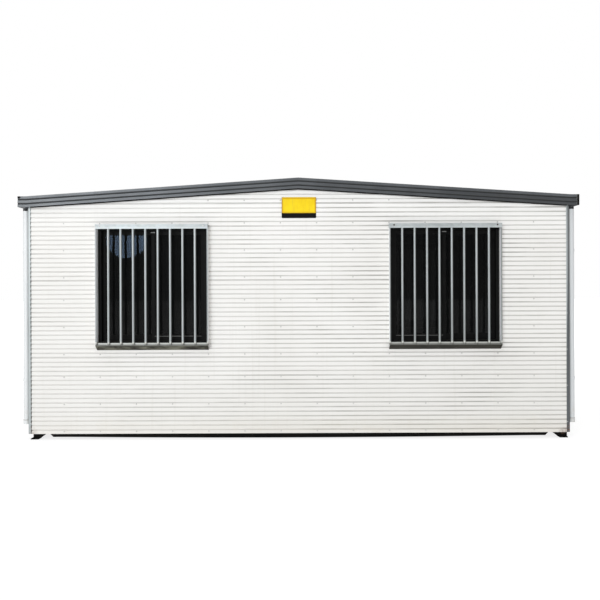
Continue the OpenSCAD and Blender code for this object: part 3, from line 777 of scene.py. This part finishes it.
def floor_pale():
    """A light table: lit from below so that shadows stay faint, with a painted shadow under the cabin
    where it does not glow.
    """
    p = Paint("floor_pale")
    x, y, _ = p.xyz()
    # Painted shadow: a dark patch under the cabin, bowed along its front and back edges.
    bowed_y = p.math("ADD", p.absolute(y), p.times(x, x, CABIN_SHADOW_BOW))
    cabin_shadow = p.times(
        p.fade(bowed_y, CABIN_SHADOW_Y - CABIN_SHADOW_BLUR_Y, CABIN_SHADOW_Y + CABIN_SHADOW_BLUR_Y),
        p.fade(p.absolute(x), CABIN_SHADOW_X - CABIN_SHADOW_BLUR_X, CABIN_SHADOW_X + CABIN_SHADOW_BLUR_X),
    )
    pale = p.mix(p.blots(0.8), (0.24, 0.24, 0.24), (0.25, 0.25, 0.25))
    glow = p.ramp(p.distance((0.0, 0.0, 0.0)), 5.0, 16.0, 0.80, 1.0)
    p.set(
        Base_Color=p.mix(cabin_shadow, pale, (0.02, 0.02, 0.02)),
        Roughness=0.85,
        Specular_IOR_Level=0.1,
        Emission_Color=(1.0, 1.0, 1.0),
        Emission_Strength=p.times(glow, p.rest(cabin_shadow)),
    )
    return p.mat


SLOT_FINISH = {
    make.__name__: make()
    for make in (
        cladding_white, trim_grey, roof_grey, base_black, pipe_white, window_dark, glass,
        grille_zinc, lining, deck_timber, door_white, door_steel,
    )
}
BARGE = barge_grey()
SCREW = screw_zinc()
BOLT = bolt_dark()
YELLOW = plate_yellow()
RUBBER = rubber_black()
BRIGHT_STRIP = bright_strip()


# The CAD nodes keep their shapes and get these finishes

NODE_FINISH = {name: BARGE for name in ("front_barge", "rear_barge", "left_gutter", "right_gutter")}
SLOT_EDGE = {
    "grille_zinc": 0.0012, "window_dark": 0.0015, "door_white": 0.002, "base_black": 0.0015,
    "door_steel": 0.001,
}


def dress_nodes():
    for row in frame["record"]["subparts"]:
        obj = NODES[row["node"]]
        slot = row["material_slot"]
        obj.data.materials.clear()
        obj.data.materials.append(NODE_FINISH.get(row["node"], SLOT_FINISH[slot]))
        if slot in SLOT_EDGE:
            soften(obj, SLOT_EDGE[slot])


# Fasteners

BOTH = (-1, 1)
WASHER_T, WASHER_SIDES = 0.0014, 12
HEX_SIDES = 6
RIVET_SIDES = 10
ROOF_SCREW = {"head": 0.0050, "washer": 0.0095}
SCREW_RIBS = (0, 6, 12, 17, 23, 29, 34, 40, 46, 51)
SCREW_IN_BAND = 0.026
SCREW_STEP = 0.400
SCREW_EDGE = 0.06
SCREW_UNDER_GUTTER = 0.08
SCREW_CLEAR = 0.014


def hex_screw(soup, at, out, head=0.0045, washer=0.0080):
    """A hexagon-headed sheet screw on its washer, standing out of the surface at a point."""
    at, out = Vector(at), Vector(out).normalized()
    soup.turned(at, out, [(0.0, washer), (WASHER_T, washer * 0.94)], WASHER_SIDES)
    profile = [(0.0, head * 1.35), (0.0010, head), (0.0048, head), (0.0056, head * 0.8)]
    soup.turned(at + out * WASHER_T, out, profile, HEX_SIDES)


def rivet(soup, at, out, r=0.0045):
    soup.turned(at, out, [(0.0, r), (0.0012, r * 0.86), (0.0020, r * 0.5)], RIVET_SIDES)


def wall_top_z(x):
    return RIDGE_Z - SLOPE * abs(x)


def covers(node, x, z):
    low, high = span(node)
    return (
        low.x - SCREW_CLEAR < x < high.x + SCREW_CLEAR
        and low.z - SCREW_CLEAR < z < high.z + SCREW_CLEAR
    )


def cladding_screws():
    soup = Soup()
    heights = [CLAD_Z + rib * RIB_PITCH + SCREW_IN_BAND for rib in SCREW_RIBS]
    along = [SCREW_STEP * (k + 0.5) for k in range(-8, 8)]
    walls = (
        (FRONT_Y, ("front_left_grille", "front_right_grille")),
        (REAR_Y, ("rear_grille", "door_frame")),
    )
    for y, blocks in walls:
        for x in along:
            for z in heights:
                clear = z < wall_top_z(x) - SCREW_EDGE and abs(x) < END_X - SCREW_EDGE
                if clear and not any(covers(b, x, z) for b in blocks):
                    hex_screw(soup, (x, y, z), (0, y, 0))
    for side in BOTH:
        for y in along:
            for z in heights:
                if z < EAVE_Z - SCREW_UNDER_GUTTER and abs(y) < REAR_Y - SCREW_EDGE:
                    hex_screw(soup, (side * END_X, y, z), (side, 0, 0))
    piece("cladding_screws", soup, SCREW)


def trim_rivets():
    """A rivet through each leg of the corner trims, at every eighth rib."""
    soup = Soup()
    inset, first_rib, rib_step, count = 0.032, 2, 8, 7
    top = EAVE_Z - 0.12
    for sx in BOTH:
        for sy in BOTH:
            for k in range(count):
                z = CLAD_Z + RIB_PITCH * (first_rib + rib_step * k) + RIB_BAND / 2
                if z < top:
                    rivet(soup, (sx * (END_X - inset), sy * (REAR_Y + SHEET_T), z), (0, sy, 0))
                    rivet(soup, (sx * (END_X + SHEET_T), sy * (REAR_Y - inset), z), (sx, 0, 0))
    piece("trim_rivets", soup, SCREW)


def roof_rib_y(i):
    return (i - (ROOF_RIBS - 1) / 2) * ROOF_RIB_PITCH


def roof_screws():
    """Screws through the ribs in rows across the roof, and through the ridge cap's wings."""
    soup = Soup()
    rows = (0.45, 1.05, 1.65, 2.25, 2.85)
    cap_x = 0.125
    for side in BOTH:
        out = Vector((side * math.sin(PITCH), 0.0, math.cos(PITCH)))
        for i in range(ROOF_RIBS):
            y = roof_rib_y(i)
            under_barge = i in (0, ROOF_RIBS - 1)
            for x in rows:
                z = ROOF_TOP_Z - SLOPE * x + (SHEET_T if under_barge else 0.0)
                hex_screw(soup, (side * x, y, z), out, **ROOF_SCREW)
            if not under_barge:
                cap_z = CAP_TOP_Z - SLOPE * cap_x
                hex_screw(soup, (side * cap_x, y, cap_z), out, **ROOF_SCREW)
    piece("roof_screws", soup, SCREW)


def ridge_closures():
    """Foam in the pans of the roof sheets, under both edges of the ridge cap."""
    soup = Soup()
    fit = 0.0004
    foot, shoulder = ROOF_RIB_FOOT / 2 + fit, ROOF_RIB_TOP / 2 + fit
    for side in BOTH:
        for i in range(ROOF_RIBS - 1):
            y0, y1 = roof_rib_y(i), roof_rib_y(i) + ROOF_RIB_PITCH
            rings = []
            for inset in (0.038, 0.014, 0.010):
                x = CAP_HALF_W - inset
                top = ROOF_TOP_Z - SLOPE * x - fit
                low = top - ROOF_RIB_H / math.cos(PITCH) + 2 * fit
                rings.append([
                    (side * x, y0 + foot, low), (side * x, y1 - foot, low),
                    (side * x, y1 - shoulder, top), (side * x, y0 + shoulder, top),
                ])
            soup.loft(*rings)
    piece("ridge_closures", soup, RUBBER)


# Roof edge

def under_barge_shadow_strips():
    """A black strip between the foot of each barge and the cladding, a painted shadow that reads as a
    dark line.
    """
    height, gap, wall_gap, corner = 0.008, 0.004, 0.0006, 0.048
    for name, sy in (("front_barge_shadow_strip", -1), ("rear_barge_shadow_strip", 1)):
        soup = Soup()
        y0, y1 = sy * (REAR_Y + wall_gap), sy * (-BARGE_Y - gap)
        for sx in BOTH:
            rings = []
            for x in (0.0, END_X - corner):
                top = BARGE_FOOT_Z - SLOPE * x
                rings.append([
                    (sx * x, y0, top - height), (sx * x, y1 - sy * gap, top - height),
                    (sx * x, y1, top), (sx * x, y0, top),
                ])
            soup.loft(*rings)
        piece(name, soup, RUBBER)


def gutter_ends():
    """Black plates as painted shade in the open roll on the left gutter's stop and along the fold of
    the right one, and the lip beside that fold.
    """
    back = BARGE_Y + 0.001
    low_z = GUTTER_TOP_Z - BARGE_H
    fold_x = GUTTER_X - 0.024
    left_x = -GUTTER_X
    shapes = (
        ("left_gutter_roll_shade", RUBBER, (left_x + 0.001, GUTTER_TOP_Z - 0.023),
         (left_x + 0.032, GUTTER_TOP_Z - 0.001), 0.010, 0.005, 0.002),
        ("right_gutter_fold_shade", RUBBER, (fold_x, low_z),
         (GUTTER_X - 0.0005, GUTTER_TOP_Z), 0.002, 0.004, 0.001),
        ("right_gutter_lip", BRIGHT_STRIP, (fold_x - 0.004, low_z),
         (fold_x - 0.0005, GUTTER_TOP_Z), 0.0015, 0.003, 0.0008),
    )
    for name, finish, low, high, radius, proud, edge in shapes:
        soup = Soup()
        soup.plate(low, high, radius, back, BARGE_Y - proud, edge)
        piece(name, soup, finish)


def barge_rivets():
    soup = Soup()
    first_x, step, count, r = 0.04, 0.72, 5, 0.004
    for sy in BOTH:
        for sx in BOTH:
            for k in range(count):
                x = first_x + step * k
                z = BARGE_TOP_Z - SLOPE * x - BARGE_BAND_H / 2
                rivet(soup, (sx * x, sy * -BARGE_Y, z), (0, sy, 0), r)
    piece("barge_rivets", soup, BARGE)


def foot_packer():
    """The block of steel that packs out the front right foot, on its sole plate."""
    inset, width, depth = 0.0422, 0.0215, 0.048
    low_z, high_z = 0.010, 0.057
    x, y = END_X - inset, FRONT_Y + inset
    soup = Soup()
    soup.plate((x, low_z), (x + width, high_z), 0.003, y + depth, y, 0.002)
    piece("front_right_foot_packer", soup, SLOT_FINISH["base_black"])


# Windows

def panes(window):
    """The low and high corners of a window's outer and inner panes, and the way out of the wall."""
    low, high = span(f"{window}_window_glass")
    out = 1 if low.y > 0 else -1
    outer_y, inner_y = (high.y - PANE_T, low.y) if out > 0 else (low.y, high.y - PANE_T)
    outer_x, inner_x = (high.x - PANE_W, low.x) if high.x < 0 else (low.x, high.x - PANE_W)
    both = [
        (Vector((x, y, low.z)), Vector((x + PANE_W, y + PANE_T, high.z)))
        for x, y in ((outer_x, outer_y), (inner_x, inner_y))
    ]
    return both, out


def corners(low, high, inset):
    x0, z0, x1, z1 = low.x + inset, low.z + inset, high.x - inset, high.z - inset
    return [(x0, z0), (x1, z0), (x1, z1), (x0, z1)]


def glazing_rubber(window, both):
    """A wedge of rubber round each pane, on both its faces."""
    soup = Soup()
    lip, rise = 0.006, 0.005
    for low, high in both:
        outer, inner = corners(low, high, 0.0), corners(low, high, lip)
        for y, way in ((low.y, -1), (high.y, 1)):
            wedges = [
                [(ox, y, oz), (ox, y + way * rise, oz), (ix, y, iz)]
                for (ox, oz), (ix, iz) in zip(outer, inner)
            ]
            for i in range(4):
                soup.loft(wedges[i], wedges[(i + 1) % 4])
    piece(f"{window}_glazing_rubber", soup, RUBBER)


def sash_highlights(window, pane, out):
    """Painted highlights: a bright strip along the foot of the outer sash, and a bright block over
    the meeting stiles.
    """
    soup = Soup()
    low, high = pane
    face = (high.y if out > 0 else low.y) + out * 0.0075
    back = face - out * 0.001
    highlight_z = low.z - 0.0150
    for inset, h in ((0.0, 0.004), (0.004, 0.0025)):
        soup.plate(
            (low.x + inset, highlight_z), (high.x - inset, highlight_z + h), 0.001,
            back, face + out * (0.0015 + inset / 4), 0.0005,
        )
    middle = sum(v.x for v in span(f"{window}_window_frame")) / 2
    block_z = high.z + 0.022
    half_w, half_h = 0.024, 0.005
    soup.plate(
        (middle - half_w, block_z - half_h), (middle + half_w, block_z + half_h), 0.003,
        back, face + out * 0.004, 0.001,
    )
    piece(f"{window}_bead", soup, BRIGHT_STRIP)


def grille_details(window):
    """Welds at the feet of the bars, and the bolts through the top rail and the drip."""
    low, high = span(f"{window}_grille")
    out = 1 if low.y > 0 else -1
    front = high.y if out > 0 else low.y
    half = (high.x - low.x) / 2
    middle = (low.x + high.x) / 2
    foot_z = low.z + DRIP_H + 0.005
    bar_y = front - out * (0.005 + BAR_R * 0.9)
    weld_r, weld_sides = BAR_R + 0.0028, 14
    weld = [(-0.001, weld_r), (0.0015, weld_r), (0.0042, BAR_R + 0.0004)]
    welds = Soup()
    for i in range(1, BAR_COUNT + 1):
        x = middle - half + SIDE_BAR_W / 2 + i * BAR_PITCH
        welds.turned((x, bar_y, foot_z), (0, 0, 1), weld, weld_sides)
    zinc = SLOT_FINISH["grille_zinc"]
    piece(f"{window}_grille_welds", welds, zinc, smooth=True)

    bolts, low_bolts = Soup(), Soup()
    for sx in BOTH:
        rail_at = (middle + sx * (half - 0.050), front, high.z - 0.018)
        hex_screw(bolts, rail_at, (0, out, 0), head=0.0068, washer=0.0092)
        drip_at = (middle + sx * (half - 0.030), front - out * 0.020, low.z + 0.030)
        hex_screw(low_bolts, drip_at, (0, out, -1.2), head=0.0060, washer=0.0085)
    piece(f"{window}_grille_bolts", bolts, BOLT if window == "front_right" else SCREW)
    piece(f"{window}_grille_low_bolts", low_bolts, BOLT)


# Plate, pipes and door

def front_plate():
    """A dark plate with a bare yellow panel that leaves a strip of it below, and four rivets."""
    x0, x1 = PLATE_X - PLATE_W / 2, PLATE_X + PLATE_W / 2
    face = FRONT_Y - PLATE_T
    back = Soup()
    back.plate((x0, PLATE_LOW_Z), (x1, PLATE_HIGH_Z), 0.010, FRONT_Y, face, 0.0008)
    piece("front_plate", back, RUBBER)
    panel = Soup()
    panel.plate(
        (x0 + PLATE_BORDER, PLATE_LOW_Z + PLATE_BAND_H),
        (x1 - PLATE_BORDER, PLATE_HIGH_Z - PLATE_BORDER), 0.005,
        face, face - 0.0006, 0.0002,
    )
    piece("front_plate_panel", panel, YELLOW)
    inset, rivet_r = 0.018, 0.0042
    rows = (("low", PLATE_LOW_Z + 0.018, RUBBER), ("high", PLATE_HIGH_Z - 0.020, YELLOW))
    for name, z, finish in rows:
        pins = Soup()
        for x in (x0 + inset, x1 - inset):
            rivet(pins, (x, face - 0.0004, z), (0, -1, 0), rivet_r)
        piece(f"front_plate_{name}_rivets", pins, finish)


def pipe_details():
    """Screws on both sides of the clips that hold the downpipes."""
    soup = Soup()
    clip_off, clip_half_w, clip_mid = 0.012, 0.015, 0.015
    for side in ("left", "right"):
        low, high = span(f"{side}_downpipe")
        sx = 1 if high.x > 0 else -1
        x = sx * (END_X + clip_off)
        y = (low.y + high.y) / 2
        for share in (0.2, 0.8):
            z = low.z + share * (high.z - low.z) + clip_mid
            for way in BOTH:
                at = (x, y + way * clip_half_w, z)
                hex_screw(soup, at, (0, way, 0), head=0.0040, washer=0.0060)
    piece("pipe_clip_screws", soup, SCREW)


def door_details():
    """Six screws in each of the door's hinges."""
    soup = Soup()
    low, high = span("door_leaf")
    fit_low, fit_high = span("door_fittings")
    gap, plate_t, hinge_h, screw_r = 0.0015, 0.003, 0.100, 0.0042
    hinged_high = fit_high.x - high.x > low.x - fit_low.x
    hinge_x = high.x + gap if hinged_high else low.x - gap
    for share in (0.1, 0.5, 0.9):
        z = low.z + share * (high.z - low.z - hinge_h)
        for dx in (-0.021, 0.021):
            for dz in (0.018, 0.050, 0.082):
                rivet(soup, (hinge_x + dx, REAR_Y + plate_t, z + dz), (0, 1, 0), screw_r)
    piece("hinge_screws", soup, SLOT_FINISH["door_steel"])


dress_nodes()
cladding_screws()
trim_rivets()
roof_screws()
ridge_closures()
under_barge_shadow_strips()
gutter_ends()
barge_rivets()
foot_packer()
for name in WINDOWS:
    both_panes, way_out = panes(name)
    glazing_rubber(name, both_panes)
    sash_highlights(name, both_panes[0], way_out)
    grille_details(name)
front_plate()
pipe_details()
door_details()


# Stage, light and camera

FLOOR_R = 80.0
SKY_TINT = (0.97, 0.985, 1.0, 1.0)
SKY_LEFT, SKY_RIGHT = 0.60, 0.24
BACKDROP = (1.0, 1.0, 1.0, 1.0)
CAM_AT = (0.0, -8.5, 1.669)
CAM_LENS, CAM_SENSOR = 37.97, 36.0
CAM_SHIFT_X, CAM_SHIFT_Y = 0.0021, -0.020
CAM_LEVEL = math.radians(90)
CAM_ROLL = math.radians(-0.22)


def stage():
    mesh = bpy.data.meshes.new("floor")
    r = FLOOR_R
    mesh.from_pydata([(-r, -r, 0), (r, -r, 0), (r, r, 0), (-r, r, 0)], [], [(0, 1, 2, 3)])
    mesh.materials.append(floor_pale())
    floor = bpy.data.objects.new("floor", mesh)
    bpy.context.scene.collection.objects.link(floor)


def area(name, shape, at, towards, size, power, colour):
    data = bpy.data.lights.new(name, "AREA")
    data.shape = shape
    data.size, data.size_y = size
    data.energy = power
    data.color = colour
    obj = bpy.data.objects.new(name, data)
    obj.location = at
    obj.rotation_euler = (Vector(towards) - Vector(at)).to_track_quat("-Z", "Y").to_euler()
    obj.visible_camera = False
    bpy.context.scene.collection.objects.link(obj)


def sun(name, towards, strength, spread):
    data = bpy.data.lights.new(name, "SUN")
    data.energy = strength
    data.angle = math.radians(spread)
    obj = bpy.data.objects.new(name, data)
    obj.rotation_euler = Vector(towards).to_track_quat("-Z", "Y").to_euler()
    bpy.context.scene.collection.objects.link(obj)


def world():
    """A white backdrop, and a soft sky that is brighter from the left."""
    made = bpy.data.worlds.new("studio")
    bpy.context.scene.world = made
    made.use_nodes = True
    tree = made.node_tree
    tree.nodes.clear()
    link = tree.links.new
    coords = tree.nodes.new("ShaderNodeTexCoord")
    split = tree.nodes.new("ShaderNodeSeparateXYZ")
    link(coords.outputs["Generated"], split.inputs[0])
    side = tree.nodes.new("ShaderNodeMapRange")
    side.inputs["From Min"].default_value = -1.0
    side.inputs["From Max"].default_value = 1.0
    side.inputs["To Min"].default_value = SKY_LEFT
    side.inputs["To Max"].default_value = SKY_RIGHT
    link(split.outputs["X"], side.inputs["Value"])
    soft = tree.nodes.new("ShaderNodeBackground")
    soft.inputs["Color"].default_value = SKY_TINT
    link(side.outputs[0], soft.inputs["Strength"])
    seen = tree.nodes.new("ShaderNodeBackground")
    seen.inputs["Color"].default_value = BACKDROP
    path = tree.nodes.new("ShaderNodeLightPath")
    mix = tree.nodes.new("ShaderNodeMixShader")
    link(path.outputs["Is Camera Ray"], mix.inputs["Fac"])
    link(soft.outputs[0], mix.inputs[1])
    link(seen.outputs[0], mix.inputs[2])
    out = tree.nodes.new("ShaderNodeOutputWorld")
    link(mix.outputs[0], out.inputs["Surface"])


def camera():
    data = bpy.data.cameras.new("camera")
    data.lens = CAM_LENS
    data.sensor_width = CAM_SENSOR
    data.shift_x = CAM_SHIFT_X
    data.shift_y = CAM_SHIFT_Y
    obj = bpy.data.objects.new("camera", data)
    level = Matrix.Rotation(CAM_LEVEL, 4, "X")
    obj.matrix_world = Matrix.Translation(CAM_AT) @ level @ Matrix.Rotation(CAM_ROLL, 4, "Z")
    bpy.context.scene.collection.objects.link(obj)
    bpy.context.scene.camera = obj


stage()
world()
area(
    "sky_card", "RECTANGLE", at=(-12.2, -24.5, 9.0), towards=(0.0, -1.5, 1.8),
    size=(11.4, 8.6), power=2650.0, colour=(0.97, 0.99, 1.0),
)
area(
    "blue_card", "ELLIPSE", at=(-5.88, -16.0, 3.37), towards=(-2.0, -1.5, 2.1),
    size=(1.36, 1.30), power=60.0, colour=(0.45, 0.66, 1.0),
)
sun("high_sun", towards=(0.15, 0.20, -0.97), strength=1.2, spread=50.0)
sun("back_fill", towards=(-0.2, -0.8, -0.55), strength=0.6, spread=60.0)
camera()
bpy.context.scene.view_settings.view_transform = "Standard"
